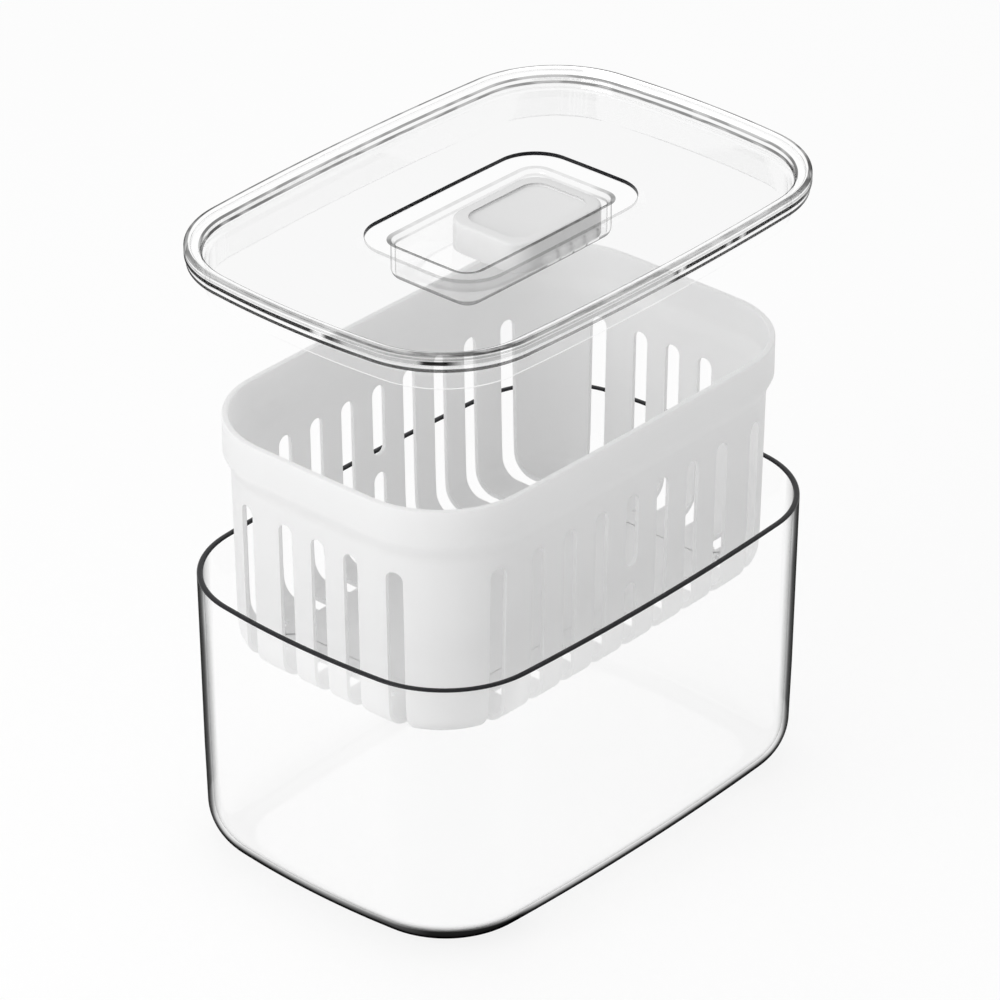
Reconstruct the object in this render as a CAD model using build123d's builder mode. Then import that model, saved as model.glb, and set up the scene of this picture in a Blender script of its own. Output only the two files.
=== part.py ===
# Clear storage bin with a slotted lift-out basket, a recessed clear lid and a vent cap.
# Sizes are in millimetres, +Z is up, the long walls run along X and the front is -Y.
# The pieces stand one above another, drawn apart the way the organizer is shown.
import os
from math import atan, atan2, cos, degrees, hypot, sin, sqrt

from build123d import *

os.makedirs("parts", exist_ok=True)

# Clearances
seat_gap = 0.3
seal_gap = 0.4

# Bin
bin_length = 290.0
bin_width = 199.8
bin_height = 149.1
bin_long_bow = 7.0
bin_short_bow = 10.9
bin_corner = 53.5
bin_wall = 3.0
bin_floor = 3.2
bin_draft = 2.2
bin_bottom_round = 22.6
bin_rim_round = 1.0

# Basket
basket_lift = 107.0
basket_length = 265.5
basket_width = 172.5
basket_height = 124.9
basket_long_bow = 2.2
basket_short_bow = 1.0
basket_corner = 49.7
basket_wall = 2.0
basket_floor = 2.6
basket_rim = 3.2
basket_rim_round = 0.7
collar_height = 19.0
collar_step = 3.7
shoulder_height = 8.0
basket_draft = 1.7
basket_bottom_round = 12.0

# Basket slots
slot_width = 8.8
slot_top_drop = 36.8
long_slot_count = 9
long_slot_pitch = 22.1
long_slot_end_gap = 26.3
short_slot_count = 5
short_slot_pitch = 20.6
short_slot_end_gap = 26.0
slot_floor_reach = 25.0
slot_overcut = 1.0
bridge_drop = 75.4
bridge_height = 9.4

# Lid
lid_lift = 165.8
lid_overhang = 1.4
lid_height = 9.6
lid_band_height = 3.4
lid_band_step = 0.8
lid_bead_round = 1.45
lid_bead_width = 3.4
lid_ledge_width = 4.4
lid_ledge_drop = 2.4
lid_panel_drop = 6.2
lid_panel_thickness = 2.4
lid_rail_width = 6.4
plug_inset = 9.4
plug_wall = 2.0
plug_depth = 13.4

# Lid seal
seal_height = 3.4
seal_drop = 0.4
seal_groove = 1.2

# Well set into the lid
opening_length = 131.0
opening_width = 78.6
opening_corner = 21.0
opening_bow = 0.6
flange_overlap = 4.0
flange_thickness = 2.0
well_margin = 11.2
well_lip_round = 3.0
well_wall = 2.0
well_floor = 2.0
well_depth = 19.3
well_bottom_round = 5.0
well_floor_round = 0.8
window_length = 37.0
window_height = 5.6
window_start = 2.0
window_sill = 2.4
window_rib = 1.2
window_rib_count = 3

# Vent cap
cap_length = 65.0
cap_side_gap = 0.6
cap_end_gap = 0.8
cap_corner = 12.0
cap_sink = 2.1
cap_wall = 2.2
cap_top = 2.6
cap_edge_round = 1.6
cap_rim = 6.0
cap_recess = 1.4
cap_recess_round = 0.8

# Heights worked out from the sizes above
basket_base = bin_floor + seat_gap + basket_lift
basket_top = basket_base + basket_height
shoulder_top = basket_top - collar_height
shoulder_base = shoulder_top - shoulder_height
slot_top = basket_top - slot_top_drop
bridge_top = basket_top - bridge_drop
bridge_base = bridge_top - bridge_height
lid_base = bin_height + seat_gap + lid_lift
lid_top = lid_base + lid_height
panel_top = lid_top - lid_panel_drop
panel_base = panel_top - lid_panel_thickness
plug_base = lid_base - plug_depth
flange_base = panel_base - flange_thickness
well_base = panel_base - well_depth
well_floor_top = well_base + well_floor
cap_base = well_floor_top + seat_gap
cap_top_height = panel_base - cap_sink
lid_length = bin_length + 2 * lid_overhang
lid_width = bin_width + 2 * lid_overhang
well_inner_inset = well_margin + well_lip_round
cap_width = opening_width - 2 * (well_inner_inset + cap_side_gap)
cap_offset = opening_length / 2 - well_inner_inset - cap_end_gap - cap_length / 2


def arc_radius(span, bow):
    """Radius of an arc that rises by bow over its span."""
    return (span**2 / 4 + bow**2) / (2 * bow)


def wall_edges(length, width, long_bow, short_bow, corner, inset):
    """Edges of a rectangle with bowed sides and round corners, all moved in by inset."""
    long_radius = arc_radius(length, long_bow)
    short_radius = arc_radius(width, short_bow)
    long_centre = width / 2 - long_radius
    short_centre = length / 2 - short_radius
    long_reach = long_radius - corner
    short_reach = short_radius - corner
    gap = hypot(short_centre, long_centre)
    along = (long_reach**2 - short_reach**2 + gap**2) / (2 * gap)
    across = sqrt(long_reach**2 - along**2)
    step_x = short_centre / gap
    step_y = -long_centre / gap
    corner_x = along * step_x - across * step_y
    corner_y = long_centre + along * step_y + across * step_x
    if corner_x + corner_y < 0:
        corner_x = along * step_x + across * step_y
        corner_y = long_centre + along * step_y - across * step_x
    long_angle = atan2(corner_y - long_centre, corner_x)
    short_angle = atan2(corner_y, corner_x - short_centre)
    mid_angle = (long_angle + short_angle) / 2
    radius = corner - inset
    on_long = Vector(corner_x + radius * cos(long_angle), corner_y + radius * sin(long_angle))
    on_short = Vector(corner_x + radius * cos(short_angle), corner_y + radius * sin(short_angle))
    on_corner = Vector(corner_x + radius * cos(mid_angle), corner_y + radius * sin(mid_angle))
    half_length = length / 2 - inset
    half_width = width / 2 - inset
    edges = []
    for side in (1, -1):
        start = Vector(-on_long.X, side * on_long.Y)
        middle = Vector(0, side * half_width)
        end = Vector(on_long.X, side * on_long.Y)
        edges.append(Edge.make_three_point_arc(start, middle, end))
        start = Vector(side * on_short.X, -on_short.Y)
        middle = Vector(side * half_length, 0)
        end = Vector(side * on_short.X, on_short.Y)
        edges.append(Edge.make_three_point_arc(start, middle, end))
        for hand in (1, -1):
            start = Vector(hand * on_long.X, side * on_long.Y)
            middle = Vector(hand * on_corner.X, side * on_corner.Y)
            end = Vector(hand * on_short.X, side * on_short.Y)
            edges.append(Edge.make_three_point_arc(start, middle, end))
    return edges


def bin_outline(inset):
    return wall_edges(
        bin_length, bin_width, bin_long_bow, bin_short_bow, bin_corner, inset
    )


def basket_outline(inset):
    return wall_edges(
        basket_length, basket_width, basket_long_bow, basket_short_bow, basket_corner, inset
    )


def lid_outline(inset):
    return wall_edges(
        lid_length, lid_width, bin_long_bow, bin_short_bow, bin_corner + lid_overhang, inset
    )


def opening_outline(inset):
    return wall_edges(
        opening_length, opening_width, opening_bow, opening_bow, opening_corner, inset
    )


def draft_angle(inset, height):
    """Angle that moves a wall by inset over height."""
    return degrees(atan(inset / height))


# Hollow of the bin
bin_hollow_draft = bin_draft * (bin_height - bin_floor) / bin_height
with BuildPart() as bin_hollow:
    with BuildSketch(Plane.XY.offset(bin_floor)):
        make_face(bin_outline(bin_wall + bin_hollow_draft))
    extrude(
        amount=bin_height - bin_floor,
        taper=-draft_angle(bin_hollow_draft, bin_height - bin_floor),
    )
    fillet(
        bin_hollow.edges().group_by(Axis.Z)[0],
        radius=bin_bottom_round - bin_wall,
    )

# Clear bin
with BuildPart() as bin_shell:
    with BuildSketch():
        make_face(bin_outline(bin_draft))
    extrude(amount=bin_height, taper=-draft_angle(bin_draft, bin_height))
    fillet(bin_shell.edges().group_by(Axis.Z)[0], radius=bin_bottom_round)
    add(bin_hollow.part, mode=Mode.SUBTRACT)
    fillet(bin_shell.edges().group_by(Axis.Z)[-1], radius=bin_rim_round)
bin_shell.part.label = "bin_shell"
export_step(bin_shell.part, "parts/bin_shell.step")

# Hollow of the basket
hollow_base = basket_base + basket_floor
hollow_shoulder_base = shoulder_base + basket_wall
hollow_shoulder_top = shoulder_top + basket_wall
hollow_height = hollow_shoulder_base - hollow_base
hollow_top_inset = collar_step + basket_wall
with BuildPart() as basket_hollow:
    with BuildSketch(Plane.XY.offset(hollow_base)):
        make_face(basket_outline(hollow_top_inset + basket_draft))
    extrude(amount=hollow_height, taper=-draft_angle(basket_draft, hollow_height))
    fillet(
        basket_hollow.edges().group_by(Axis.Z)[0],
        radius=basket_bottom_round - basket_wall,
    )
    with BuildSketch(Plane.XY.offset(hollow_shoulder_base)):
        make_face(basket_outline(hollow_top_inset))
    extrude(
        amount=shoulder_height,
        taper=-draft_angle(hollow_top_inset - basket_rim, shoulder_height),
    )
    with BuildSketch(Plane.XY.offset(hollow_shoulder_top)):
        make_face(basket_outline(basket_rim))
    extrude(amount=basket_top - hollow_shoulder_top)

# Slots on the long and short walls, running under onto the floor
long_slot_inner = basket_width / 2 - collar_step - basket_draft - slot_floor_reach
short_slot_inner = basket_length / 2 - collar_step - basket_draft - slot_floor_reach
slot_bottom = basket_base - slot_overcut


def slot_places(count, pitch, end_gap):
    """Slot centres along a wall: an even row with one more slot end_gap beyond each end."""
    inner_count = count - 2
    inner_end = (inner_count - 1) / 2 * pitch
    inner = [index * pitch - inner_end for index in range(inner_count)]
    return [-inner_end - end_gap] + inner + [inner_end + end_gap]


long_slot_xs = slot_places(long_slot_count, long_slot_pitch, long_slot_end_gap)
short_slot_ys = slot_places(short_slot_count, short_slot_pitch, short_slot_end_gap)


def slot_profile(across, top):
    """Round-topped slot profile from below the floor up to top."""
    shoulder = top - slot_width / 2
    with Locations((across, (shoulder + slot_bottom) / 2)):
        Rectangle(slot_width, shoulder - slot_bottom)
    with Locations((across, shoulder)):
        Circle(slot_width / 2)


with BuildPart() as long_slots:
    for side in (1, -1):
        with BuildSketch(Plane.XZ.offset(-side * long_slot_inner)):
            for across in long_slot_xs:
                if abs(across) > slot_width / 2:
                    slot_profile(across, slot_top)
                else:
                    slot_profile(across, bridge_base)
                    with Locations((across, (slot_top + bridge_top) / 2)):
                        SlotOverall(slot_top - bridge_top, slot_width, rotation=90)
        extrude(amount=-side * (basket_width / 2 - long_slot_inner))

with BuildPart() as short_slots:
    for side in (1, -1):
        with BuildSketch(Plane.YZ.offset(side * short_slot_inner)):
            for across in short_slot_ys:
                slot_profile(across, slot_top)
        extrude(amount=side * (basket_length / 2 - short_slot_inner))

# White slotted basket
body_height = shoulder_base - basket_base
with BuildPart() as basket:
    with BuildSketch(Plane.XY.offset(basket_base)):
        make_face(basket_outline(collar_step + basket_draft))
    extrude(amount=body_height, taper=-draft_angle(basket_draft, body_height))
    fillet(basket.edges().group_by(Axis.Z)[0], radius=basket_bottom_round)
    with BuildSketch(Plane.XY.offset(shoulder_base)):
        make_face(basket_outline(collar_step))
    extrude(amount=shoulder_height, taper=-draft_angle(collar_step, shoulder_height))
    with BuildSketch(Plane.XY.offset(shoulder_top)):
        make_face(basket_outline(0.0))
    extrude(amount=collar_height)
    add(basket_hollow.part, mode=Mode.SUBTRACT)
    add(long_slots.part, mode=Mode.SUBTRACT)
    add(short_slots.part, mode=Mode.SUBTRACT)
    fillet(basket.edges().group_by(Axis.Z)[-1], radius=basket_rim_round)
basket.part.label = "basket"
export_step(basket.part, "parts/basket.step")

# Clear lid: banded rim, recessed panel with an opening, and a plug wall below
ledge_inset = lid_bead_width + lid_ledge_width
ledge_top = lid_top - lid_ledge_drop
with BuildPart() as lid_shell:
    with BuildSketch(Plane.XY.offset(lid_base)):
        make_face(lid_outline(lid_band_step))
    extrude(amount=lid_band_height)
    with BuildSketch(Plane.XY.offset(lid_base + lid_band_height)):
        make_face(lid_outline(0.0))
    extrude(amount=lid_height - lid_band_height)
    with BuildSketch(Plane.XY.offset(ledge_top)):
        make_face(lid_outline(lid_bead_width))
    extrude(amount=lid_ledge_drop, mode=Mode.SUBTRACT)
    with BuildSketch(Plane.XY.offset(panel_top)):
        make_face(lid_outline(ledge_inset))
    extrude(amount=ledge_top - panel_top, mode=Mode.SUBTRACT)
    fillet(lid_shell.edges().group_by(Axis.Z)[-1], radius=lid_bead_round)
    with BuildSketch(Plane.XY.offset(lid_base)):
        make_face(lid_outline(lid_rail_width))
    extrude(amount=panel_base - lid_base, mode=Mode.SUBTRACT)
    with BuildSketch(Plane.XY.offset(plug_base)):
        make_face(lid_outline(plug_inset))
        make_face(lid_outline(plug_inset + plug_wall), mode=Mode.SUBTRACT)
    extrude(amount=panel_base - plug_base)
    with BuildSketch(Plane.XY.offset(panel_base)):
        make_face(opening_outline(0.0))
    extrude(amount=lid_panel_thickness, mode=Mode.SUBTRACT)
lid_shell.part.label = "lid_shell"
export_step(lid_shell.part, "parts/lid_shell.step")

# Seal around the plug wall, just under the lid's rim
seal_top = lid_base - seal_drop
seal_inset = lid_overhang + bin_wall + seal_gap
with BuildPart() as lid_seal:
    with BuildSketch(Plane.XY.offset(seal_top - seal_height)):
        make_face(lid_outline(seal_inset))
        make_face(lid_outline(plug_inset), mode=Mode.SUBTRACT)
    extrude(amount=seal_height)
    with BuildSketch(Plane.XY.offset(seal_top - seal_height / 2 - seal_groove / 2)):
        make_face(lid_outline(seal_inset))
        make_face(lid_outline(seal_inset + seal_groove), mode=Mode.SUBTRACT)
    extrude(amount=seal_groove, mode=Mode.SUBTRACT)
lid_seal.part.label = "lid_seal"
export_step(lid_seal.part, "parts/lid_seal.step")

# Hollow of the well
with BuildPart() as well_hollow:
    with BuildSketch(Plane.XY.offset(well_floor_top)):
        make_face(opening_outline(well_inner_inset))
    extrude(amount=panel_base - well_floor_top)
    fillet(
        well_hollow.edges().group_by(Axis.Z)[0],
        radius=well_floor_round,
    )

# Clear well with a flange under the opening and a ribbed window in its front wall
window_base = well_base + window_sill
window_middle = window_start + window_length / 2
window_y = -opening_width / 2 + well_inner_inset - well_wall / 2
with BuildPart() as well_insert:
    with BuildSketch(Plane.XY.offset(well_base)):
        make_face(opening_outline(well_inner_inset - well_wall))
    extrude(amount=well_depth)
    fillet(well_insert.edges().group_by(Axis.Z)[0], radius=well_bottom_round)
    with BuildSketch(Plane.XY.offset(flange_base)):
        make_face(opening_outline(-flange_overlap))
    extrude(amount=flange_thickness)
    add(well_hollow.part, mode=Mode.SUBTRACT)
    lip_edges = well_insert.faces().sort_by(Axis.Z)[-1].inner_wires()[0].edges()
    fillet(lip_edges, radius=well_lip_round)
    with BuildSketch(Plane.XZ.offset(-window_y)):
        with Locations((window_middle, window_base + window_height / 2)):
            Rectangle(window_length, window_height)
        for index in range(window_rib_count):
            rib_x = window_start + window_length * (index + 1) / (window_rib_count + 1)
            with Locations((rib_x, window_base + window_height / 2)):
                Rectangle(window_rib, window_height, mode=Mode.SUBTRACT)
    extrude(amount=well_wall, both=True, mode=Mode.SUBTRACT)
well_insert.part.label = "well_insert"
export_step(well_insert.part, "parts/well_insert.step")

# Hollow under the vent cap
with BuildPart() as cap_hollow:
    with BuildSketch(Plane.XY.offset(cap_base)):
        with Locations((cap_offset, 0)):
            RectangleRounded(
                cap_length - 2 * cap_wall, cap_width - 2 * cap_wall, cap_corner - cap_wall
            )
    extrude(amount=cap_top_height - cap_top - cap_base)

# White vent cap with a raised border round its top
cap_height = cap_top_height - cap_base
with BuildPart() as vent_cap:
    with BuildSketch(Plane.XY.offset(cap_base)):
        with Locations((cap_offset, 0)):
            RectangleRounded(cap_length, cap_width, cap_corner)
    extrude(amount=cap_height)
    fillet(vent_cap.edges().group_by(Axis.Z)[-1], radius=cap_edge_round)
    with BuildSketch(Plane.XY.offset(cap_top_height - cap_recess)):
        with Locations((cap_offset, 0)):
            RectangleRounded(
                cap_length - 2 * cap_rim, cap_width - 2 * cap_rim, cap_corner - cap_rim / 2
            )
    extrude(amount=cap_recess, mode=Mode.SUBTRACT)
    border_edges = vent_cap.faces().group_by(Axis.Z)[-1][0].inner_wires()[0].edges()
    fillet(border_edges, radius=cap_recess_round)
    add(cap_hollow.part, mode=Mode.SUBTRACT)
vent_cap.part.label = "vent_cap"
export_step(vent_cap.part, "parts/vent_cap.step")
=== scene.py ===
# Looks for a clear storage bin with its slotted basket, lid, seal, well and vent cap.
# Sizes are in millimetres and are turned into metres when the meshes are made.
# An outline is (length, width, bow of the long sides, bow of the short sides, corner radius).
# A section point is (inset from the outline, height) with, for clear pieces, a mark: above 0
# it darkens the row with painted shade, below 0 it whitens it with a painted highlight of added
# gloss.
import math

import bmesh
import bpy
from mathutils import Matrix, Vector


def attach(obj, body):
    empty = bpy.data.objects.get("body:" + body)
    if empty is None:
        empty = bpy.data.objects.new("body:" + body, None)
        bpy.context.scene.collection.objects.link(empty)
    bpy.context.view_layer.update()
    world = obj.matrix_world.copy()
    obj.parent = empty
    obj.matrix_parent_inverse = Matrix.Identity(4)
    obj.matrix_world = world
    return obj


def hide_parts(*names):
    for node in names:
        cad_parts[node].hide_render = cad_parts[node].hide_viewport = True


MM = 0.001
SHARP_ANGLE = 38

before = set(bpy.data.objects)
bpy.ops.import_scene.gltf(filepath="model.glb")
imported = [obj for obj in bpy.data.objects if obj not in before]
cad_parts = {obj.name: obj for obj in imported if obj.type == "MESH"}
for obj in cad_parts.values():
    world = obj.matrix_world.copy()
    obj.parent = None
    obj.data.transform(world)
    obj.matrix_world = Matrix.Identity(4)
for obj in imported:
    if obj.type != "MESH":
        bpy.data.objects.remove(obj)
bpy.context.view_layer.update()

# Sizes shared with the solids
BIN = (290.0, 199.8, 7.0, 10.9, 53.5)
LID = (292.8, 202.6, 7.0, 10.9, 54.9)
BASKET = (265.5, 172.5, 2.2, 1.0, 49.7)
OPENING = (131.0, 78.6, 0.6, 0.6, 21.0)
CAP = (65.0, 49.0, 0.05, 0.05, 12.0)
RECESS = (53.0, 37.0, 0.05, 0.05, 9.0)
BIN_HEIGHT, BIN_WALL, BIN_FLOOR, BIN_DRAFT, BIN_ROUND = 149.1, 3.0, 3.2, 2.2, 22.6
BIN_RIM_ROUND = 1.0
BASKET_BASE, BASKET_TOP = 110.5, 235.4
COLLAR, STEP, SHOULDER, BODY_DRAFT = 19.0, 3.7, 8.0, 1.7
BASKET_WALL, BASKET_FLOOR, BASKET_RIM, BASKET_ROUND = 2.0, 2.6, 3.2, 12.0
SLOT, SLOT_DROP, LONG_PITCH, SHORT_PITCH = 8.8, 36.8, 22.1, 20.6
LONG_END_GAP, SHORT_END_GAP, END_SHORT, HELD_RADIUS = 26.3, 26.0, 4.0, 23.3
SLOT_REACH, BRIDGE_DROP, BRIDGE = 25.0, 75.4, 9.4
LONG_SLOTS, SHORT_SLOTS = 5, 3  # counted from the middle of a wall to its end
LID_BASE, LID_TOP = 315.2, 324.8
LID_BAND, LID_BAND_STEP, BEAD, LEDGE, LEDGE_DROP = 3.4, 0.8, 3.4, 4.4, 2.4
BEAD_ROUND = 1.45
PANEL_DROP, PANEL, RAIL = 6.2, 2.4, 6.4
PLUG_INSET, PLUG_WALL, PLUG_DEPTH = 9.4, 2.0, 13.4
SEAL_INSET, SEAL_HEIGHT, SEAL_DROP, SEAL_GROOVE, SEAL_ROUND = 4.8, 3.4, 0.4, 1.2, 0.4
FLANGE_OUT, FLANGE, WELL_INSET, WELL_WALL, WELL_FLOOR = 4.0, 2.0, 14.2, 2.0, 2.0
WELL_DEPTH, WELL_ROUND, WELL_FLOOR_ROUND, LIP_ROUND = 19.3, 5.0, 0.8, 3.0
WINDOW, WINDOW_HEIGHT, WINDOW_START, WINDOW_SILL = 37.0, 5.6, 2.0, 2.4
WINDOW_RIB, WINDOW_RIBS, WELL_MARGIN = 1.2, 3, 11.2
CAP_OFFSET, CAP_SINK, CAP_WALL, CAP_TOP_SKIN = 18.0, 2.1, 2.2, 2.6
CAP_ROUND, CAP_RECESS, CAP_RECESS_ROUND, CAP_CLEARANCE = 1.6, 1.4, 0.8, 0.3
PANEL_TOP = LID_TOP - PANEL_DROP
PANEL_BASE = PANEL_TOP - PANEL


# Outlines
def arcs(shape):
    """Centres, radii and joins of the bowed rectangle."""
    length, width, long_bow, short_bow, corner = shape
    long_r = (length**2 / 4 + long_bow**2) / (2 * long_bow)
    short_r = (width**2 / 4 + short_bow**2) / (2 * short_bow)
    long_c = width / 2 - long_r
    short_c = length / 2 - short_r
    reach_a, reach_b = long_r - corner, short_r - corner
    gap = math.hypot(short_c, long_c)
    along = (reach_a**2 - reach_b**2 + gap**2) / (2 * gap)
    across = math.sqrt(reach_a**2 - along**2)
    ux, uy = short_c / gap, -long_c / gap
    corner_x, corner_y = along * ux - across * uy, long_c + along * uy + across * ux
    if corner_x + corner_y < 0:
        corner_x, corner_y = along * ux + across * uy, long_c + along * uy - across * ux
    return long_r, long_c, short_r, short_c, corner, corner_x, corner_y


def quadrant(shape, inset, xs, ys, turns):
    """Points from the short wall's middle round the corner to the long wall's middle."""
    long_r, long_c, short_r, short_c, corner, cx, cy = arcs(shape)
    radius = corner - inset
    a_long = math.atan2(cy - long_c, cx)
    a_short = math.atan2(cy, cx - short_c)
    join_x, join_y = cx + radius * math.cos(a_long), cy + radius * math.sin(a_short)
    held = max(radius, HELD_RADIUS)
    points = []
    for y in ys:
        if y <= join_y:
            points.append((short_c + math.sqrt((short_r - inset) ** 2 - y * y), y))
        else:
            a = max(math.asin((y - cy) / held), a_short)
            points.append((cx + radius * math.cos(a), cy + radius * math.sin(a)))
    ends = []
    for x in xs:
        if x <= join_x:
            ends.append((x, long_c + math.sqrt((long_r - inset) ** 2 - x * x)))
        else:
            a = min(math.acos((x - cx) / held), a_long)
            ends.append((cx + radius * math.cos(a), cy + radius * math.sin(a)))
    first = max(math.atan2(points[-1][1] - cy, points[-1][0] - cx), a_short)
    last = min(math.atan2(ends[0][1] - cy, ends[0][0] - cx), a_long)
    if ys[-1] < join_y:
        first = a_short
        turns_from = 0
    else:
        turns_from = 1
    turns_to = turns if xs[0] < join_x else turns - 1
    for i in range(turns_from, turns_to + 1):
        a = first + (last - first) * i / turns
        points.append((cx + radius * math.cos(a), cy + radius * math.sin(a)))
    return points + ends


def ring(shape, inset, xs, ys, turns):
    """A closed ring of points, the same count for every inset."""
    q = quadrant(shape, inset, xs, ys, turns)
    left = [(-x, y) for x, y in reversed(q)][1:]
    near = [(-x, -y) for x, y in q][1:]
    right = [(x, -y) for x, y in reversed(q)][1:-1]
    return q + left + near + right


def plain_marks(shape, long_steps=12, short_steps=8):
    """Even marks along the walls, up to the corners' joins."""
    cx, cy = arcs(shape)[-2:]
    xs = [cx * (1 - i / long_steps) for i in range(1, long_steps + 1)]
    ys = [cy * i / short_steps for i in range(short_steps)]
    return xs, ys


def rounded(centre_in, centre_z, radius, start, end, steps):
    """Section points (inset, z) on a round, angles in degrees from straight outward."""
    out = []
    for i in range(steps + 1):
        a = math.radians(start + (end - start) * i / steps)
        out.append((centre_in - radius * math.cos(a), centre_z + radius * math.sin(a)))
    return out


# Meshes
def make_object(name, verts, faces, materials, face_slots=None, coords=None):
    """A smooth piece with sharp edges, its normals outward."""
    mesh = bpy.data.meshes.new(name)
    mesh.from_pydata([(x * MM, y * MM, z * MM) for x, y, z in verts], [], faces)
    for material in materials:
        mesh.materials.append(material)
    if face_slots:
        mesh.polygons.foreach_set("material_index", face_slots)
    mesh.polygons.foreach_set("use_smooth", [True] * len(mesh.polygons))
    if coords:
        layer = mesh.uv_layers.new(name="around")
        layer.data.foreach_set("uv", [v for pair in coords for v in pair])
    work = bmesh.new()
    work.from_mesh(mesh)
    bmesh.ops.recalc_face_normals(work, faces=work.faces)
    work.to_mesh(mesh)
    work.free()
    mesh.set_sharp_from_angle(angle=math.radians(SHARP_ANGLE))
    mesh.update()
    obj = bpy.data.objects.new(name, mesh)
    bpy.context.scene.collection.objects.link(obj)
    return obj


def way_round(points):
    """Each point's share of the way round its ring, and 1 for the return to the first."""
    steps = [math.dist(a, b) for a, b in zip(points, points[1:] + points[:1])]
    return [sum(steps[:i]) / sum(steps) for i in range(len(points))] + [1.0]


def loft(name, rows, materials, slots=None, closed=False, offset=0.0, turns=18, cap_slot=0):
    """A solid from rows (outline, inset, height, mark) joined in turn.

    It is capped at both ends or closed into a ring. Its coordinates hold the way round
    (0 to 1, from the middle of the +X side by the +Y side) and the row's mark.
    """
    verts, faces, face_slots, coords, ways, marks = [], [], [], [], [], []
    for shape, inset, z, *mark in rows:
        points = ring(shape, inset, *plain_marks(shape), turns)
        verts += [(x + offset, y, z) for x, y in points]
        ways.append(way_round(points))
        marks.append(mark[0] if mark else 0.0)
    total, count = len(rows), len(points)
    for r in range(total if closed else total - 1):
        s = (r + 1) % total
        a, b = r * count, s * count
        for i in range(count):
            j = (i + 1) % count
            faces.append((a + i, a + j, b + j, b + i))
            face_slots.append(slots[r] if slots else 0)
            coords += [(ways[r][i], marks[r]), (ways[r][i + 1], marks[r])]
            coords += [(ways[s][i + 1], marks[s]), (ways[s][i], marks[s])]
    if not closed:
        for start in (0, (total - 1) * count):
            faces.append(tuple(range(start, start + count)))
            face_slots.append(cap_slot)
            coords += [(0.0, 0.0)] * count
    return make_object(name, verts, faces, materials, face_slots, coords)


def on(shape, section):
    """Rows of one outline from section points."""
    return [(shape, *point) for point in section]


def marked(points, mark):
    """The same section points with a mark."""
    return [(inset, z, mark) for inset, z, *_ in points]


def bend(inset, z, radius, way_in, way_up, steps=4, flip=False):
    """Section points round a corner at (inset, z), from its side to its flat.

    way_in and way_up are -1 or 1, toward the corner's solid side; flip turns the order.
    """
    out = []
    for i in range(steps + 1):
        a = math.radians(90 * i / steps)
        along = way_in * radius * (1 - math.cos(a))
        up = way_up * radius * (1 - math.sin(a))
        out.append((inset + along, z + up))
    return out[::-1] if flip else out


# Materials
STREAKS_ROUND, STREAKS_PER_METRE = 60.0, 700.0
STREAK_CONTRAST, STREAK_OFFSET = 6.0, -2.6


def new_material(name):
    """A material and its empty node tree."""
    material = bpy.data.materials.new(name)
    material.use_nodes = True
    tree = material.node_tree
    tree.nodes.clear()
    return material, tree


def maths(tree, kind, *values):
    """A maths node's result; a value is a number or another node's output."""
    node = tree.nodes.new("ShaderNodeMath")
    node.operation = kind
    for socket, value in zip(node.inputs, values):
        if isinstance(value, (int, float)):
            socket.default_value = value
        else:
            tree.links.new(value, socket)
    return node.outputs["Value"]


def ramp(tree, source, stops):
    """The grey level that the stops (place, level) give to a source's value."""
    node = tree.nodes.new("ShaderNodeValToRGB")
    elements = node.color_ramp.elements
    for i, (place, level) in enumerate(stops):
        stop = elements[i] if i < 2 else elements.new(place)
        stop.position = place
        stop.color = (level, level, level, 1)
    tree.links.new(source, node.inputs["Fac"])
    return node.outputs["Color"]


def mixed(tree, share, first, second):
    """A mix of two shaders; share is a number or another node's output."""
    node = tree.nodes.new("ShaderNodeMixShader")
    if isinstance(share, (int, float)):
        node.inputs["Fac"].default_value = share
    else:
        tree.links.new(share, node.inputs["Fac"])
    tree.links.new(first, node.inputs[1])
    tree.links.new(second, node.inputs[2])
    return node.outputs["Shader"]


def surface(tree, kind, shader):
    """Ends a material's or world's tree in a shader."""
    out = tree.nodes.new(f"ShaderNodeOutput{kind}")
    tree.links.new(shader, out.inputs["Surface"])


def streaks(tree, way, breaks):
    """How much of a mark's painted shade is kept where streaks break it up, along and up the wall.
    """
    place = tree.nodes.new("ShaderNodeTexCoord")
    spot = tree.nodes.new("ShaderNodeSeparateXYZ")
    tree.links.new(place.outputs["Object"], spot.inputs["Vector"])
    spread = tree.nodes.new("ShaderNodeCombineXYZ")
    round_it = maths(tree, "MULTIPLY", way, STREAKS_ROUND)
    up_it = maths(tree, "MULTIPLY", spot.outputs["Z"], STREAKS_PER_METRE)
    tree.links.new(round_it, spread.inputs["X"])
    tree.links.new(up_it, spread.inputs["Y"])
    noise = tree.nodes.new("ShaderNodeTexNoise")
    noise.inputs["Scale"].default_value = 1.0
    noise.inputs["Detail"].default_value = 1.0
    tree.links.new(spread.outputs["Vector"], noise.inputs["Vector"])
    clamp = tree.nodes.new("ShaderNodeClamp")
    sharpened = maths(tree, "MULTIPLY_ADD", noise.outputs["Fac"], STREAK_CONTRAST, STREAK_OFFSET)
    tree.links.new(sharpened, clamp.inputs["Value"])
    return maths(tree, "MULTIPLY_ADD", clamp.outputs["Result"], -breaks, 1.0)


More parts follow.
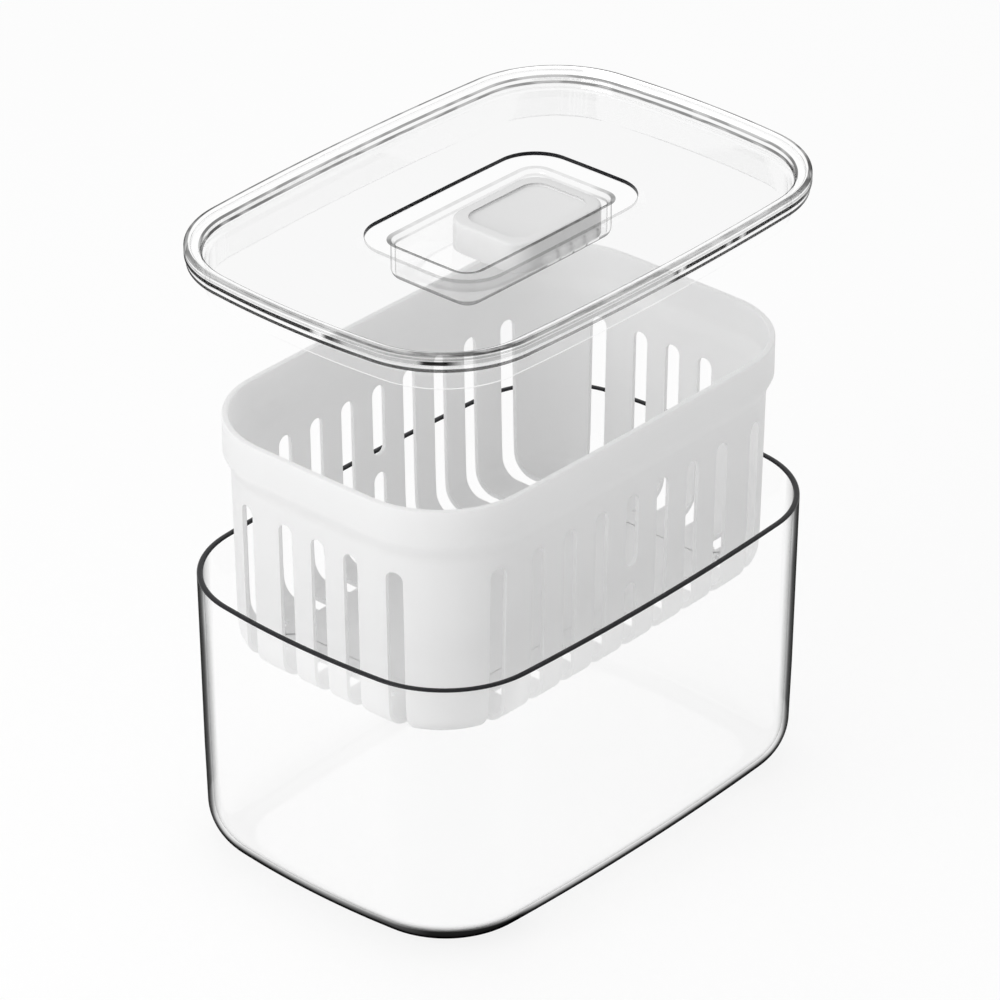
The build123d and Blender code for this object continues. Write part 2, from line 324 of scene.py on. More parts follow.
def clear_plastic(name, facing_shades, veils, around=((0.0, 1.0), (1.0, 1.0)), breaks=0.0):
    """See-through plastic.

    The facing stops darken it with painted shade where it turns away, standing in for
    refraction, and veils whiten it with gloss by how much it turns away. A mark above 0
    darkens it further with painted shade, to the level that around gives for the place on the
    way round, with streaks that break up that share of it. A mark below 0 adds gloss, a
    painted highlight. Marks and gloss show on the outer side alone, and gloss takes nothing
    from the light that falls through.
    """
    material, tree = new_material(name)
    nodes, link = tree.nodes, tree.links.new
    weight = nodes.new("ShaderNodeLayerWeight")
    weight.inputs["Blend"].default_value = 0.5
    # Painted shade: the see-through level drops where the surface turns away, standing in for
    # refraction.
    facing_shade = ramp(tree, weight.outputs["Facing"], facing_shades)
    veil = ramp(tree, weight.outputs["Facing"], veils)
    geometry = nodes.new("ShaderNodeNewGeometry")
    front = maths(tree, "SUBTRACT", 1.0, geometry.outputs["Backfacing"])
    path = nodes.new("ShaderNodeLightPath")
    not_light = maths(tree, "SUBTRACT", 1.0, path.outputs["Is Shadow Ray"])
    place = nodes.new("ShaderNodeUVMap")
    place.uv_map = "around"
    coords = nodes.new("ShaderNodeSeparateXYZ")
    link(place.outputs["UV"], coords.inputs["Vector"])
    way, mark = coords.outputs["X"], coords.outputs["Y"]
    # Painted shade: a mark above 0 darkens the row to the level given for its place on the way
    # round.
    darkened = maths(tree, "MULTIPLY", maths(tree, "MAXIMUM", mark, 0.0), front)
    dark = maths(tree, "MULTIPLY", darkened, streaks(tree, way, breaks))
    painted_shade_mix = nodes.new("ShaderNodeMix")
    painted_shade_mix.data_type = "RGBA"
    painted_shade_mix.blend_type = "MULTIPLY"
    factor, first, second = painted_shade_mix.inputs[0], painted_shade_mix.inputs[6], painted_shade_mix.inputs[7]
    link(dark, factor)
    link(facing_shade, first)
    link(ramp(tree, way, around), second)
    see = nodes.new("ShaderNodeBsdfTransparent")
    link(painted_shade_mix.outputs[2], see.inputs["Color"])
    gloss = nodes.new("ShaderNodeBsdfGlossy")
    gloss.inputs["Color"].default_value = (1, 1, 1, 1)
    gloss.inputs["Roughness"].default_value = 0.05
    plain = maths(tree, "MULTIPLY", veil, maths(tree, "SUBTRACT", 1.0, dark))
    # Painted highlight: a mark below 0 adds a share of gloss.
    painted_highlight = maths(tree, "MAXIMUM", maths(tree, "MULTIPLY", mark, -1.0), 0.0)
    glossy = maths(tree, "MULTIPLY", maths(tree, "MAXIMUM", plain, painted_highlight), front)
    share = maths(tree, "MULTIPLY", glossy, not_light)
    surface(tree, "Material", mixed(tree, share, see.outputs["BSDF"], gloss.outputs["BSDF"]))
    return material


def painted_shade_edge(name, colour, behind):
    """An edge of clear plastic: near black from its own side, painted shade, and behind's level
    from inside.
    """
    material, tree = new_material(name)
    nodes = tree.nodes
    body = nodes.new("ShaderNodeBsdfPrincipled")
    body.inputs["Base Color"].default_value = (*colour, 1)
    body.inputs["Roughness"].default_value = 0.3
    body.inputs["Specular IOR Level"].default_value = 0.2
    see = nodes.new("ShaderNodeBsdfTransparent")
    see.inputs["Color"].default_value = (behind, behind, behind, 1)
    geometry = nodes.new("ShaderNodeNewGeometry")
    shader = mixed(tree, geometry.outputs["Backfacing"], body.outputs["BSDF"], see.outputs["BSDF"])
    surface(tree, "Material", shader)
    return material


def solid_plastic(name, level, roughness, grain, milky):
    """Satin white plastic, faintly uneven, that lets the milky share of the light through."""
    material, tree = new_material(name)
    nodes, link = tree.nodes, tree.links.new
    body = nodes.new("ShaderNodeBsdfPrincipled")
    body.inputs["Base Color"].default_value = (level, level, level, 1)
    body.inputs["Roughness"].default_value = roughness
    body.inputs["Specular IOR Level"].default_value = 0.3
    place = nodes.new("ShaderNodeTexCoord")
    noise = nodes.new("ShaderNodeTexNoise")
    noise.inputs["Scale"].default_value = 45.0
    noise.inputs["Detail"].default_value = 2.0
    bump = nodes.new("ShaderNodeBump")
    bump.inputs["Strength"].default_value = grain
    bump.inputs["Distance"].default_value = 0.0004
    link(place.outputs["Object"], noise.inputs["Vector"])
    link(noise.outputs["Fac"], bump.inputs["Height"])
    link(bump.outputs["Normal"], body.inputs["Normal"])
    through = nodes.new("ShaderNodeBsdfTranslucent")
    through.inputs["Color"].default_value = (0.95, 0.95, 0.95, 1)
    surface(tree, "Material", mixed(tree, milky, body.outputs["BSDF"], through.outputs["BSDF"]))
    return material


# Levels of the marks' painted shade at places on the way round, not the same on every side. From
# the photograph's side the left end is near 0.4, the near corner near 0.6 and the right end near
# 0.9.
FOOT_LINE = [
    (0.0, 0.5), (0.36, 0.4), (0.4, 0.15), (0.45, 0.35), (0.5, 0.35), (0.56, 0.12),
    (0.585, 0.015), (0.64, 0.015), (0.655, 0.5), (0.7, 0.6), (0.84, 0.6), (0.88, 0.25),
    (0.91, 0.4),
]
UPPER_LINE = [
    (0.0, 0.7), (0.37, 0.6), (0.395, 0.3), (0.405, 0.06), (0.518, 0.06), (0.52, 0.9),
    (0.525, 0.9), (0.527, 0.1), (0.533, 0.12), (0.54, 0.8), (0.583, 0.8), (0.586, 0.03),
    (0.6, 0.03), (0.603, 0.8), (0.755, 0.7), (0.758, 0.06), (0.7605, 0.06), (0.762, 0.95),
    (0.7635, 0.06), (0.8, 0.06), (0.8015, 0.95), (0.803, 0.06), (0.8115, 0.06),
    (0.813, 0.95), (0.8145, 0.06), (0.868, 0.08), (0.876, 0.4), (0.9, 0.4), (0.93, 0.7),
]
LOWER_LINE = [
    (0.0, 0.7), (0.38, 0.5), (0.4, 0.1), (0.53, 0.08), (0.545, 0.2), (0.6, 0.22),
    (0.64, 0.3), (0.66, 0.55), (0.75, 0.55), (0.757, 0.1), (0.868, 0.1), (0.88, 0.4),
    (0.92, 0.7),
]
TOP_LINE = [
    (0.0, 0.28), (0.3, 0.28), (0.38, 0.1), (0.41, 0.25), (0.45, 0.5), (0.55, 0.5),
    (0.62, 0.12), (0.635, 0.12), (0.65, 0.5), (0.84, 0.45), (0.88, 0.15), (0.91, 0.12),
    (0.94, 0.28),
]
LIP_LINE = [
    (0.0, 0.8), (0.37, 0.75), (0.42, 0.3), (0.55, 0.4), (0.88, 0.4), (0.92, 0.3), (0.97, 0.8),
]

# Clear looks: the facing stops and marks above 0 are painted shade, marks below 0 painted
# highlights; veils are gloss.
bin_outside = clear_plastic(
    "clear bin outside",
    facing_shades=[(0.6, 0.997), (0.7, 0.78), (0.78, 0.25), (0.9, 0.03)],
    veils=[(0.1, 0.02), (0.33, 0.5), (0.42, 0.36), (0.5, 0.3), (0.66, 0.03)],
    around=FOOT_LINE,
)
bin_inside = clear_plastic(
    "clear bin inside", facing_shades=[(0.7, 1.0), (0.98, 0.75)], veils=[(0.3, 0.02), (1.0, 0.1)]
)
bin_floor = clear_plastic(
    "clear bin floor", facing_shades=[(0.55, 0.998), (0.95, 0.93)], veils=[(0.5, 0.0), (1.0, 0.2)]
)
lid_panel = clear_plastic(
    "clear lid panel", facing_shades=[(0.55, 0.976), (0.95, 0.88)], veils=[(0.0, 0.0), (1.0, 0.2)]
)
lid_rim = clear_plastic(
    "clear lid rim",
    facing_shades=[(0.6, 0.998), (0.75, 0.85), (0.86, 0.45), (0.95, 0.15)],
    veils=[(0.0, 0.12), (0.55, 0.2), (0.72, 0.04)],
    around=TOP_LINE,
    breaks=0.3,
)
# Painted shade: two dark lines along the lid's banded side.
lid_upper_line, lid_lower_line = (
    clear_plastic(
        name,
        facing_shades=[(0.62, 0.998), (0.85, 0.7), (0.97, 0.2)],
        veils=[(0.0, 0.15), (0.8, 0.05)],
        around=around,
    )
    for name, around in (("lid rim upper line", UPPER_LINE), ("lid rim lower line", LOWER_LINE))
)
lid_plug = clear_plastic(
    "clear lid plug", facing_shades=[(0.7, 1.0), (0.98, 0.8)], veils=[(0.0, 0.1), (0.9, 0.12)]
)
well_clear = clear_plastic(
    "clear well",
    facing_shades=[(0.6, 1.0), (0.78, 0.8), (0.9, 0.45), (0.98, 0.2)],
    veils=[(0.0, 0.05), (0.5, 0.12), (0.8, 0.05)],
    around=LIP_LINE,
    breaks=0.15,
)
bonded_flange = clear_plastic(
    "bonded flange", facing_shades=[(0.0, 1.0), (1.0, 1.0)], veils=[(0.0, 0.0), (1.0, 0.0)]
)
seal_clear = clear_plastic(
    "clear seal", facing_shades=[(0.7, 1.0), (0.98, 0.75)], veils=[(0.0, 0.12), (1.0, 0.12)]
)
# Painted shade: the bin's rim and the lid opening's edge are drawn near black.
edge_painted_shade = painted_shade_edge("edge painted shade", (0.012, 0.012, 0.014), behind=0.75)
basket_white = solid_plastic("white basket plastic", 0.88, roughness=0.5, grain=0.12, milky=0.45)
cap_white = solid_plastic("white cap plastic", 0.76, roughness=0.42, grain=0.1, milky=0.0)


# Bin
FOOT_STEPS, FOOT_MARK_START, FOOT_MARK_STEPS = 24, 3.5, 3


def bin_section():
    """Inner floor, inner wall, rim, outer wall and outer bottom, marked round the foot with
    painted shade.
    """
    inner_round = BIN_ROUND - BIN_WALL
    inner_draft = BIN_DRAFT * (BIN_HEIGHT - BIN_FLOOR) / BIN_HEIGHT
    top = BIN_HEIGHT - BIN_RIM_ROUND
    low_in = BIN_WALL + inner_draft
    base = BIN_FLOOR + inner_round
    points = rounded(low_in + inner_round, base, inner_round, -90, 0, 14)
    for t in (0.25, 0.5, 0.75, 1.0):
        z = base + (top - base) * t
        points.append((low_in - inner_draft * (z - BIN_FLOOR) / (BIN_HEIGHT - BIN_FLOOR), z))
    points += bend(BIN_WALL, BIN_HEIGHT, BIN_RIM_ROUND, -1, -1)[1:]
    points += bend(0.0, BIN_HEIGHT, BIN_RIM_ROUND, 1, -1, flip=True)
    for t in (0.75, 0.5, 0.25):
        z = BIN_ROUND + (top - BIN_ROUND) * t
        points.append((BIN_DRAFT * (1 - z / BIN_HEIGHT), z))
    # Painted shade along the foot's round, fading in over its first steps.
    foot = rounded(BIN_DRAFT + BIN_ROUND, BIN_ROUND, BIN_ROUND, 0, -90, FOOT_STEPS)
    for i, (inset, z) in enumerate(foot):
        mark = (i - FOOT_MARK_START) / FOOT_MARK_STEPS
        points.append((inset, z, min(1.0, max(0.0, mark))))
    return points


OUTER_FACE, EDGE_FACE, INNER_FACE, FLOOR_FACE = range(4)
section = bin_section()
crown = min(i for i, point in enumerate(section) if point[1] >= BIN_HEIGHT - 1e-6)
slots = []
for i, (low, high) in enumerate(zip(section, section[1:])):
    # The rim's top takes the near-black painted shade look.
    if min(low[1], high[1]) > BIN_HEIGHT - BIN_RIM_ROUND * 1.01:
        slots.append(EDGE_FACE)
    else:
        slots.append(INNER_FACE if i < crown else OUTER_FACE)
looks = [bin_outside, edge_painted_shade, bin_inside, bin_floor]
bin_look = loft("bin_look", on(BIN, section), looks, slots, turns=24, cap_slot=FLOOR_FACE)
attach(bin_look, "bin")
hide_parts("bin_shell")


# Basket
ACROSS_SLOT = [-1.0, -0.92, -0.7, -0.38, 0.0, 0.38, 0.7, 0.92, 1.0]
PAST_SLOTS = 2.0
COUNTED_INSET = 5.0  # any inset of the walls gives the same count of points
MIDDLE = ("long", 0)
END_SLOTS = (("long", LONG_SLOTS - 1), ("short", SHORT_SLOTS - 1))


def slot_marks(wall, pitch, count, end_gap):
    """Marks along half a wall: (position, (wall, slot) or None, offset across the slot)."""
    marks = []
    for k in range(count):
        centre = k * pitch if k < count - 1 else (k - 1) * pitch + end_gap
        for across in ACROSS_SLOT:
            if k > 0 or across >= 0:
                marks.append((centre + across * SLOT / 2, (wall, k), across))
        if k < count - 1:
            free = (pitch if k < count - 2 else end_gap) - SLOT
            for t in (0.33, 0.67):
                marks.append((centre + SLOT / 2 + free * t, None, 0.0))
        else:
            marks.append((centre + SLOT / 2 + PAST_SLOTS, None, 0.0))
    return marks


def basket_mesh():
    """The basket's points and faces, its slots left open."""
    long_marks = slot_marks("long", LONG_PITCH, LONG_SLOTS, LONG_END_GAP)[::-1]
    short_marks = slot_marks("short", SHORT_PITCH, SHORT_SLOTS, SHORT_END_GAP)
    xs = [mark[0] for mark in long_marks]
    ys = [mark[0] for mark in short_marks]
    turns = 12
    # what each point of a ring marks: (slot or None, offset across the slot)
    quarter = quadrant(BASKET, COUNTED_INSET, xs, ys, turns)
    info = [mark[1:] for mark in short_marks]
    info += [(None, 0.0)] * (len(quarter) - len(short_marks) - len(long_marks))
    info += [mark[1:] for mark in long_marks]
    back = info[::-1]
    full = info + back[1:] + info[1:] + back[1:-1]
    count = len(full)
    top = BASKET_TOP - SLOT_DROP
    arch = top - SLOT / 2
    bridge_top = BASKET_TOP - BRIDGE_DROP
    bridge_base = bridge_top - BRIDGE
    shoulder_top = BASKET_TOP - COLLAR
    shoulder_base = shoulder_top - SHOULDER
    body = shoulder_base - BASKET_BASE
    floor_top = BASKET_BASE + BASKET_FLOOR
    inner_round = BASKET_ROUND - BASKET_WALL

    def outer_inset(z):
        return STEP + BODY_DRAFT * (shoulder_base - z) / body

    def inner_inset(z):
        low, high = floor_top, shoulder_base + BASKET_WALL
        return STEP + BASKET_WALL + BODY_DRAFT * (high - z) / (high - low)

    # rows of the slotted zone, from the floor up: (outer point, inner point, kind)
    reach = STEP + BODY_DRAFT + SLOT_REACH
    rows = []
    out_low, in_low = STEP + BODY_DRAFT, STEP + BODY_DRAFT + BASKET_WALL
    rows.append(((reach + 5, BASKET_BASE), (reach + 5, floor_top), "solid"))
    rows.append(((reach, BASKET_BASE), (reach, floor_top), "inner"))
    rows.append(((reach - END_SHORT, BASKET_BASE), (reach - END_SHORT, floor_top), "open"))
    round_top = BASKET_BASE + BASKET_ROUND
    outer_curve = rounded(out_low + BASKET_ROUND, round_top, BASKET_ROUND, 0, -90, 9)
    inner_curve = rounded(in_low + inner_round, floor_top + inner_round, inner_round, 0, -90, 9)
    for outer, inner in zip(outer_curve[::-1], inner_curve[::-1]):
        rows.append((outer, inner, "open"))
    over_bridge = bridge_top + SLOT / 2
    wall_rows = [(round_top + 8, "open"), (round_top + 16, "open")]
    wall_rows += [(bridge_base - SLOT / 2, "bridge_low")]
    wall_rows += [((bridge_base + bridge_top) / 2, "bridge"), (over_bridge, "bridge_high")]
    wall_rows += [(over_bridge + (arch - over_bridge) * t, "open") for t in (0.33, 0.67)]
    wall_rows += [(arch, "arch"), (top + PAST_SLOTS, "solid")]
    for z, kind in wall_rows:
        rows.append(((outer_inset(z), z), (inner_inset(z), z), kind))

    verts, grid_out, grid_in = [], [], []

    def lift(kind, col):
        """How far a row's point moves up inside a slot to follow its round end."""
        slot, across = full[col]
        bow = SLOT / 2 * math.sqrt(max(0.0, 1 - across * across))
        if slot is not None and kind == "arch":
            return bow
        if slot == MIDDLE and kind == "bridge_low":
            return bow
        if slot == MIDDLE and kind == "bridge_high":
            return -bow
        return 0.0

    for (oi, oz), (ii, iz), kind in rows:
        for store, inset, z in ((grid_out, oi, oz), (grid_in, ii, iz)):
            line = []
            for col, (x, y) in enumerate(ring(BASKET, inset, xs, ys, turns)):
                line.append(len(verts))
                verts.append((x, y, z + lift(kind, col)))
            store.append(line)

    def is_open(row, col):
        """Whether the cell above row and right of col is part of a slot."""
        slot, kind = full[col][0], rows[row][2]
        if slot is None or slot != full[(col + 1) % count][0] or kind in ("solid", "arch"):
            return False
        if slot == MIDDLE and kind in ("bridge_low", "bridge"):
            return False
        return kind != "inner" or slot not in END_SLOTS

    faces = []
    cells = len(rows) - 1
    for r in range(cells):
        for c in range(count):
            d = (c + 1) % count
            out_a, out_b = grid_out[r], grid_out[r + 1]
            in_a, in_b = grid_in[r], grid_in[r + 1]
            if not is_open(r, c):
                faces.append((out_a[c], out_a[d], out_b[d], out_b[c]))
                faces.append((in_a[c], in_b[c], in_b[d], in_a[d]))
                continue
            if not is_open(r, (c - 1) % count):
                faces.append((out_a[c], out_b[c], in_b[c], in_a[c]))
            if not is_open(r, d):
                faces.append((out_a[d], in_a[d], in_b[d], out_b[d]))
            if r == 0 or not is_open(r - 1, c):
                faces.append((out_a[c], in_a[c], in_a[d], out_a[d]))
            if r == cells - 1 or not is_open(r + 1, c):
                faces.append((out_b[c], out_b[d], in_b[d], in_b[c]))

    # above the slots: out over the collar, round the rim and down inside
    rim = 0.7
    upper = [(outer_inset(shoulder_base - 3), shoulder_base - 3), (STEP, shoulder_base)]
    upper += [(STEP * (1 - t), shoulder_base + SHOULDER * t) for t in (0.25, 0.5, 0.75)]
    upper += [(0.0, z) for z in (shoulder_top, shoulder_top + 1.5, BASKET_TOP - 4)]
    upper += rounded(rim, BASKET_TOP - rim, rim, 0, 90, 4)
    for angle in (0, 22, 45, 68, 90):
        a = math.radians(angle)
        across = BASKET_RIM - rim + rim * math.sin(a)
        upper.append((across, BASKET_TOP - rim + rim * math.cos(a)))
    hollow_top, hollow_base = shoulder_top + BASKET_WALL, shoulder_base + BASKET_WALL
    upper += [(BASKET_RIM, z) for z in (BASKET_TOP - 4, hollow_top + 1.5, hollow_top)]
    top_in = STEP + BASKET_WALL
    for t in (0.25, 0.5, 0.75, 1.0):
        upper.append((BASKET_RIM + (top_in - BASKET_RIM) * t, hollow_top - SHOULDER * t))
    upper += [(inner_inset(hollow_base - 3), hollow_base - 3)]
    previous = grid_out[-1]
    lines = []
    for inset, z in upper:
        line = []
        for x, y in ring(BASKET, inset, xs, ys, turns):
            line.append(len(verts))
            verts.append((x, y, z))
        lines.append(line)
    lines.append(grid_in[-1])
    for line in lines:
        for c in range(count):
            d = (c + 1) % count
            faces.append((previous[c], previous[d], line[d], line[c]))
        previous = line
    faces.append(tuple(grid_out[0]))
    faces.append(tuple(grid_in[0]))
    return verts, faces


verts, faces = basket_mesh()
basket_look = make_object("basket_look", verts, faces, [basket_white])
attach(basket_look, "basket")
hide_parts("basket")


# Lid
PANEL_FACE, CUT_FACE, RIM_FACE, UPPER_FACE, LOWER_FACE, PLUG_FACE = range(6)
CUT_DARK = 1.9  # how far down the opening's edge is painted shade, near black
LINE_INSET = 2.0  # the rim's painted shade lines are within this inset
UPPER_LINE_BASE, UPPER_LINE_TOP, LOWER_LINE_TOP = 4.0, 6.2, 2.1
SIDE_MARKS = [  # (height over the lid's base, mark) down to the band; marks above 0 are painted shade, below 0 painted highlights
    (7.8, -0.3), (7.4, 0.6), (6.6, 0.6), (UPPER_LINE_TOP, -0.2), (6.0, 1.0), (4.2, 1.0),
    (UPPER_LINE_BASE, -0.5),
]
NEAR = 0.01


def lid_rows():
    """Opening edge, panel, ledge, bead, banded side, underside and plug, round to the start."""
    lower = BEAD + LEDGE
    ledge = LID_TOP - LEDGE_DROP
    rows = [(OPENING, 0.0, PANEL_BASE), (OPENING, 0.0, PANEL_TOP - CUT_DARK)]
    rows += [(OPENING, 0.0, PANEL_TOP - 0.25), (OPENING, -0.25, PANEL_TOP)]
    section = [(lower + 1.2, PANEL_TOP)]
    # Marks: above 0 painted shade lines, below 0 painted highlights of added gloss.
    section += marked(bend(lower, PANEL_TOP, 0.9, 1, 1, flip=True), 1.0)
    section += [(lower, PANEL_TOP + 1.4, -0.5), (lower, ledge - 1.2, -0.5)]
    section += marked(bend(lower, ledge, 0.9, -1, -1), 0.9)
    section += [(lower - 1.2, ledge, -0.85), (BEAD + 0.8, ledge, -0.85)]
    section += marked(bend(BEAD, ledge, 0.5, 1, 1, flip=True), -0.7)
    inner = bend(BEAD, LID_TOP, BEAD_ROUND, -1, -1, 6)
    section += marked(inner[:6], -0.85) + marked(inner[6:], 1.0)
    outer = bend(0.0, LID_TOP, BEAD_ROUND, 1, -1, 6, flip=True)
    section += marked(outer[:6], 1.0) + outer[6:]
    section += [(0.0, LID_BASE + up, mark) for up, mark in SIDE_MARKS]
    band = LID_BASE + LID_BAND
    section += marked(bend(0.0, band, 0.5, 1, 1), -0.5)
    section += [(LID_BAND_STEP, band, 0.3), (LID_BAND_STEP, band - 0.3, -0.4)]
    section += [(LID_BAND_STEP, LID_BASE + LOWER_LINE_TOP, -0.5)]
    section += [(LID_BAND_STEP, LID_BASE + 1.8, 1.0)]
    section += marked(bend(LID_BAND_STEP, LID_BASE, 0.5, 1, 1), 1.0)
    section += bend(RAIL, LID_BASE, 0.4, -1, 1, flip=True)
    section += [(RAIL, PANEL_BASE), (PLUG_INSET, PANEL_BASE)]
    plug, plug_in = LID_BASE - PLUG_DEPTH, PLUG_INSET + PLUG_WALL
    section += [(PLUG_INSET, plug + 1.2)]
    section += marked(bend(PLUG_INSET, plug, 0.9, 1, 1), -0.8)
    section += marked(bend(plug_in, plug, 0.9, -1, 1, flip=True), -0.6)
    section += [(plug_in, plug + 1.3), (plug_in, PANEL_BASE)]
    return rows + on(LID, section)


def lid_slot(low, high):
    """The look of the faces between two rows of the lid."""
    z_low, z_high = sorted((low[2], high[2]))
    inset = max(low[1], high[1])
    if low[0] is OPENING and high[0] is OPENING:
        return CUT_FACE if z_low >= PANEL_TOP - CUT_DARK - NEAR else PANEL_FACE
    if low[0] is not high[0] or (z_high <= PANEL_TOP and z_low >= PANEL_TOP - 0.1):
        return PANEL_FACE
    if inset < LINE_INSET and z_high <= LID_BASE + LOWER_LINE_TOP + NEAR:
        return LOWER_FACE
    above_base = z_low > LID_BASE + UPPER_LINE_BASE - NEAR
    if inset < LINE_INSET and above_base and z_high <= LID_BASE + UPPER_LINE_TOP + NEAR:
        return UPPER_FACE
    if inset > BEAD + LEDGE + 0.1 and z_high <= PANEL_BASE + NEAR:
        return PLUG_FACE
    return RIM_FACE


# The opening's edge takes the near-black painted shade look; the upper and lower lines are painted
# shade.
looks = [lid_panel, edge_painted_shade, lid_rim, lid_upper_line, lid_lower_line, lid_plug]
rows = lid_rows()
slots = [lid_slot(low, high) for low, high in zip(rows, rows[1:] + rows[:1])]
lid_look = loft("lid_look", rows, looks, slots, closed=True, turns=24)
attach(lid_look, "lid")
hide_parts("lid_shell")


# Lid seal
seal_top = LID_BASE - SEAL_DROP
seal_low = seal_top - SEAL_HEIGHT
groove_mid = (seal_top + seal_low) / 2
section = bend(SEAL_INSET, seal_low, SEAL_ROUND, 1, 1, flip=True)
groove_low, groove_high = groove_mid - SEAL_GROOVE / 2, groove_mid + SEAL_GROOVE / 2
section += [(SEAL_INSET, groove_low), (SEAL_INSET + SEAL_GROOVE, groove_low)]
section += [(SEAL_INSET + SEAL_GROOVE, groove_high), (SEAL_INSET, groove_high)]
section += bend(SEAL_INSET, seal_top, SEAL_ROUND, 1, -1)
section += [(PLUG_INSET, seal_top), (PLUG_INSET, seal_low)]
seal_look = loft("seal_look", on(LID, section), [seal_clear], closed=True, turns=24)
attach(seal_look, "lid")
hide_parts("lid_seal")


# Well: its flange is bonded to the panel's underside, so that only its lip and walls show
well_base = PANEL_BASE - WELL_DEPTH
inner_floor = well_base + WELL_FLOOR
outer = WELL_INSET - WELL_WALL
flange_low = PANEL_BASE - FLANGE
round_up = inner_floor + WELL_FLOOR_ROUND
section = rounded(WELL_INSET + WELL_FLOOR_ROUND, round_up, WELL_FLOOR_ROUND, -90, 0, 4)
section += [(WELL_INSET, PANEL_BASE - LIP_ROUND - 0.8)]
lip = bend(WELL_INSET, PANEL_BASE, LIP_ROUND, -1, -1, 8)
# Painted shade on the lip's edges, light in the lip's middle.
section += marked(lip[:2], 0.8) + marked(lip[2:6], 0.15) + marked(lip[6:], 1.0)
section += [(WELL_MARGIN - 0.7, PANEL_BASE, 1.0), (WELL_MARGIN - 1.0, PANEL_BASE)]
section += [(0.0, PANEL_BASE), (-FLANGE_OUT, PANEL_BASE), (-FLANGE_OUT, flange_low)]
section += [(0.0, flange_low), (outer, flange_low)]
foot = rounded(outer + WELL_ROUND, well_base + WELL_ROUND, WELL_ROUND, 0, -90, 10)
# Painted shade round the foot.
section += foot[:2] + marked(foot[2:8], 1.0) + foot[8:]
WALL_FACE, BONDED_FACE = range(2)
slots = []
for low, high in zip(section, section[1:]):
    under = low[1] == high[1] == flange_low
    slots.append(BONDED_FACE if under or min(low[0], high[0]) <= 0.0 else WALL_FACE)
well_look = loft("well_look", on(OPENING, section), [well_clear, bonded_flange], slots)


def cut_boxes(obj, boxes):
    """Cuts boxes (centre, size) out of a piece and leaves it a plain mesh."""
    cutters = []
    for centre, size in boxes:
        bpy.ops.mesh.primitive_cube_add(size=1, location=[c * MM for c in centre])
        cutter = bpy.context.object
        cutter.scale = [v * MM for v in size]
        bpy.context.view_layer.update()
        cutter.data.transform(cutter.matrix_world)
        cutter.matrix_world.identity()
        cut = obj.modifiers.new("cut", "BOOLEAN")
        cut.operation = "DIFFERENCE"
        cut.solver = "EXACT"
        cut.object = cutter
        cutters.append(cutter)
    bpy.context.view_layer.update()
    graph = bpy.context.evaluated_depsgraph_get()
    mesh = bpy.data.meshes.new_from_object(obj.evaluated_get(graph))
    obj.modifiers.clear()
    obj.data = mesh
    for cutter in cutters:
        bpy.data.objects.remove(cutter)


window_z = well_base + WINDOW_SILL + WINDOW_HEIGHT / 2
window_y = -OPENING[1] / 2 + WELL_INSET - WELL_WALL / 2
cell = (WINDOW - WINDOW_RIBS * WINDOW_RIB) / (WINDOW_RIBS + 1)
boxes = []
for i in range(WINDOW_RIBS + 1):
    x = WINDOW_START + cell / 2 + i * (cell + WINDOW_RIB)
    boxes.append(((x, window_y, window_z), (cell, WELL_WALL * 3, WINDOW_HEIGHT)))
cut_boxes(well_look, boxes)
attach(well_look, "lid")
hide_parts("well_insert")


# Vent cap
cap_low = inner_floor + CAP_CLEARANCE
cap_high = PANEL_BASE - CAP_SINK
rows = [(CAP, CAP_WALL, cap_high - CAP_TOP_SKIN), (CAP, CAP_WALL, cap_low)]
rows += [(CAP, 0.0, cap_low), (CAP, 0.0, cap_low + 4)]
rows += on(CAP, bend(0.0, cap_high, CAP_ROUND, 1, -1, 6))
for angle in (90, 60, 30, 0):
    a = math.radians(angle)
    drop = CAP_RECESS_ROUND * (1 - math.sin(a))
    rows.append((RECESS, -CAP_RECESS_ROUND * math.cos(a), cap_high - drop))
rows += on(RECESS, bend(0.0, cap_high - CAP_RECESS, 0.5, 1, 1, 3))
cap_look = loft("cap_look", rows, [cap_white], offset=CAP_OFFSET)
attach(cap_look, "cap")
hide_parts("vent_cap")


# Floor and backdrop: white to the eye, with a faint shadow of the object
FLOOR_SIZE, FLOOR_DROP, FLOOR_GLOW = 8, 0.0006, 0.86
WORLD_LIGHT = 0.68


def seen_directly(tree):
    """1 for a ray from the camera, a reflection or a transmission, and 0 for light."""
    path = tree.nodes.new("ShaderNodeLightPath")
    direct = maths(tree, "MAXIMUM", path.outputs["Is Camera Ray"], path.outputs["Is Glossy Ray"])
    return maths(tree, "MAXIMUM", direct, path.outputs["Is Transmission Ray"])


floor_material, tree = new_material("pale floor")
diffuse = tree.nodes.new("ShaderNodeBsdfDiffuse")
diffuse.inputs["Color"].default_value = (0.93, 0.93, 0.93, 1)
glow = tree.nodes.new("ShaderNodeEmission")
glow.inputs["Color"].default_value = (1, 1, 1, 1)
glow.inputs["Strength"].default_value = 1.0
share = maths(tree, "MULTIPLY", seen_directly(tree), FLOOR_GLOW)
shader = mixed(tree, share, diffuse.outputs["BSDF"], glow.outputs["Emission"])
surface(tree, "Material", shader)
bpy.ops.mesh.primitive_plane_add(size=FLOOR_SIZE, location=(0, 0, -FLOOR_DROP))
floor = bpy.context.object
floor.name = "floor"
floor.data.materials.append(floor_material)

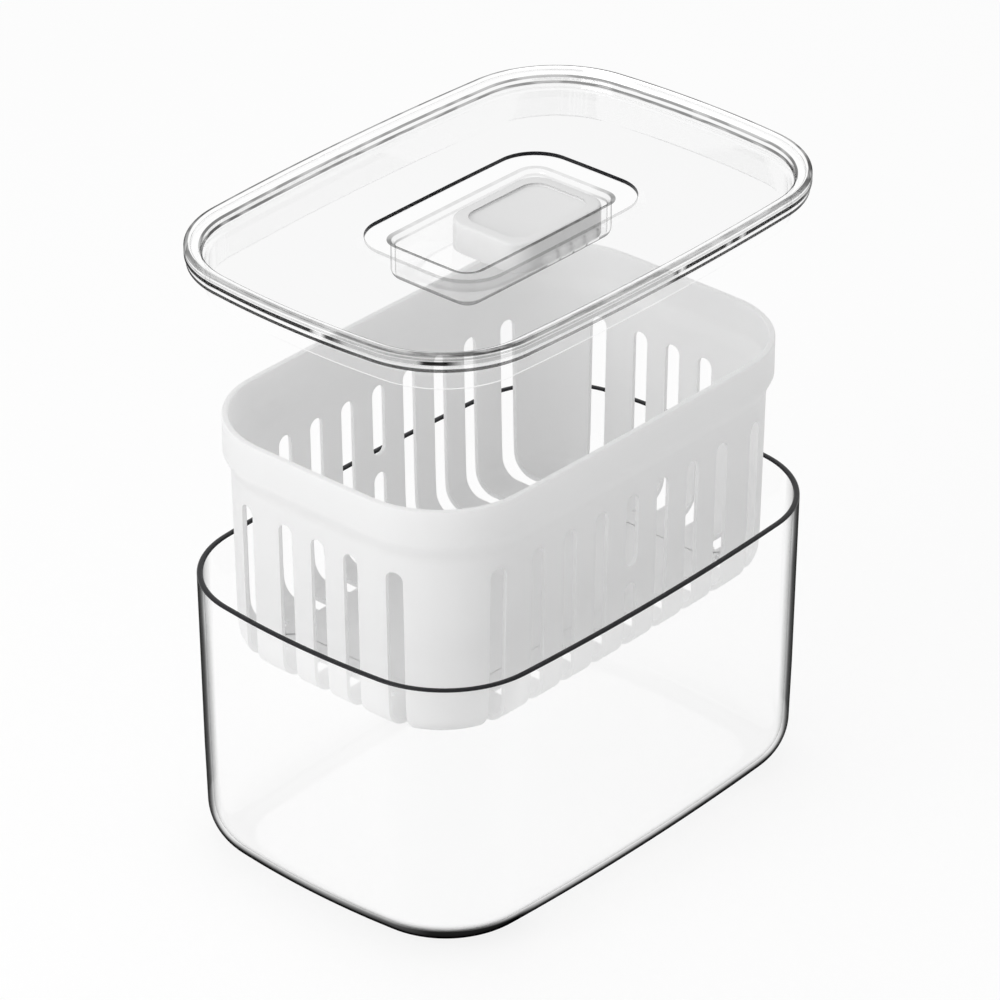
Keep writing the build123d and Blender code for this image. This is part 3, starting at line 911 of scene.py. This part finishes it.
world = bpy.data.worlds.new("studio")
bpy.context.scene.world = world
world.use_nodes = True
tree = world.node_tree
tree.nodes.clear()
light = tree.nodes.new("ShaderNodeBackground")
light.inputs["Color"].default_value = (1, 1, 1, 1)
light.inputs["Strength"].default_value = WORLD_LIGHT
plain = tree.nodes.new("ShaderNodeBackground")
plain.inputs["Color"].default_value = (1, 1, 1, 1)
plain.inputs["Strength"].default_value = 1.0
shader = mixed(tree, seen_directly(tree), light.outputs["Background"], plain.outputs["Background"])
surface(tree, "World", shader)


# Lamps and camera: azimuth in degrees from straight in front (-Y) toward +X, and elevation
LAMP_AIM = Vector((0, 0, 0.15))
CAMERA_AIM = Vector((0.009176, 0.009293, 0.157478))
CAMERA_AZIMUTH, CAMERA_ELEVATION, CAMERA_DISTANCE, CAMERA_LENS = -48.449, 29.7, 2.7487, 204.8


def aim_at(obj, aim, azimuth, elevation, distance):
    """Places a lamp or camera round a point and turns it to the point."""
    az, el = math.radians(azimuth), math.radians(elevation)
    level = math.cos(el)
    way = Vector((math.sin(az) * level, -math.cos(az) * level, math.sin(el)))
    obj.location = aim + way * distance
    obj.rotation_euler = (-way).to_track_quat("-Z", "Y").to_euler()
    bpy.context.scene.collection.objects.link(obj)


def lamp(name, azimuth, elevation, distance, size, power):
    """A round soft lamp turned to the object."""
    data = bpy.data.lights.new(name, "AREA")
    data.shape = "DISK"
    data.size = size
    data.energy = power
    aim_at(bpy.data.objects.new(name, data), LAMP_AIM, azimuth, elevation, distance)


lamp("left lamp", -100, 25, distance=1.7, size=1.2, power=12.0)
lamp("top lamp", 150, 70, distance=1.8, size=1.4, power=5.0)

camera_data = bpy.data.cameras.new("camera")
camera_data.sensor_width = 36.0
camera_data.lens = CAMERA_LENS
camera_data.clip_end = 20
camera = bpy.data.objects.new("camera", camera_data)
aim_at(camera, CAMERA_AIM, CAMERA_AZIMUTH, CAMERA_ELEVATION, CAMERA_DISTANCE)
bpy.context.scene.camera = camera
bpy.context.scene.view_settings.view_transform = "Standard"
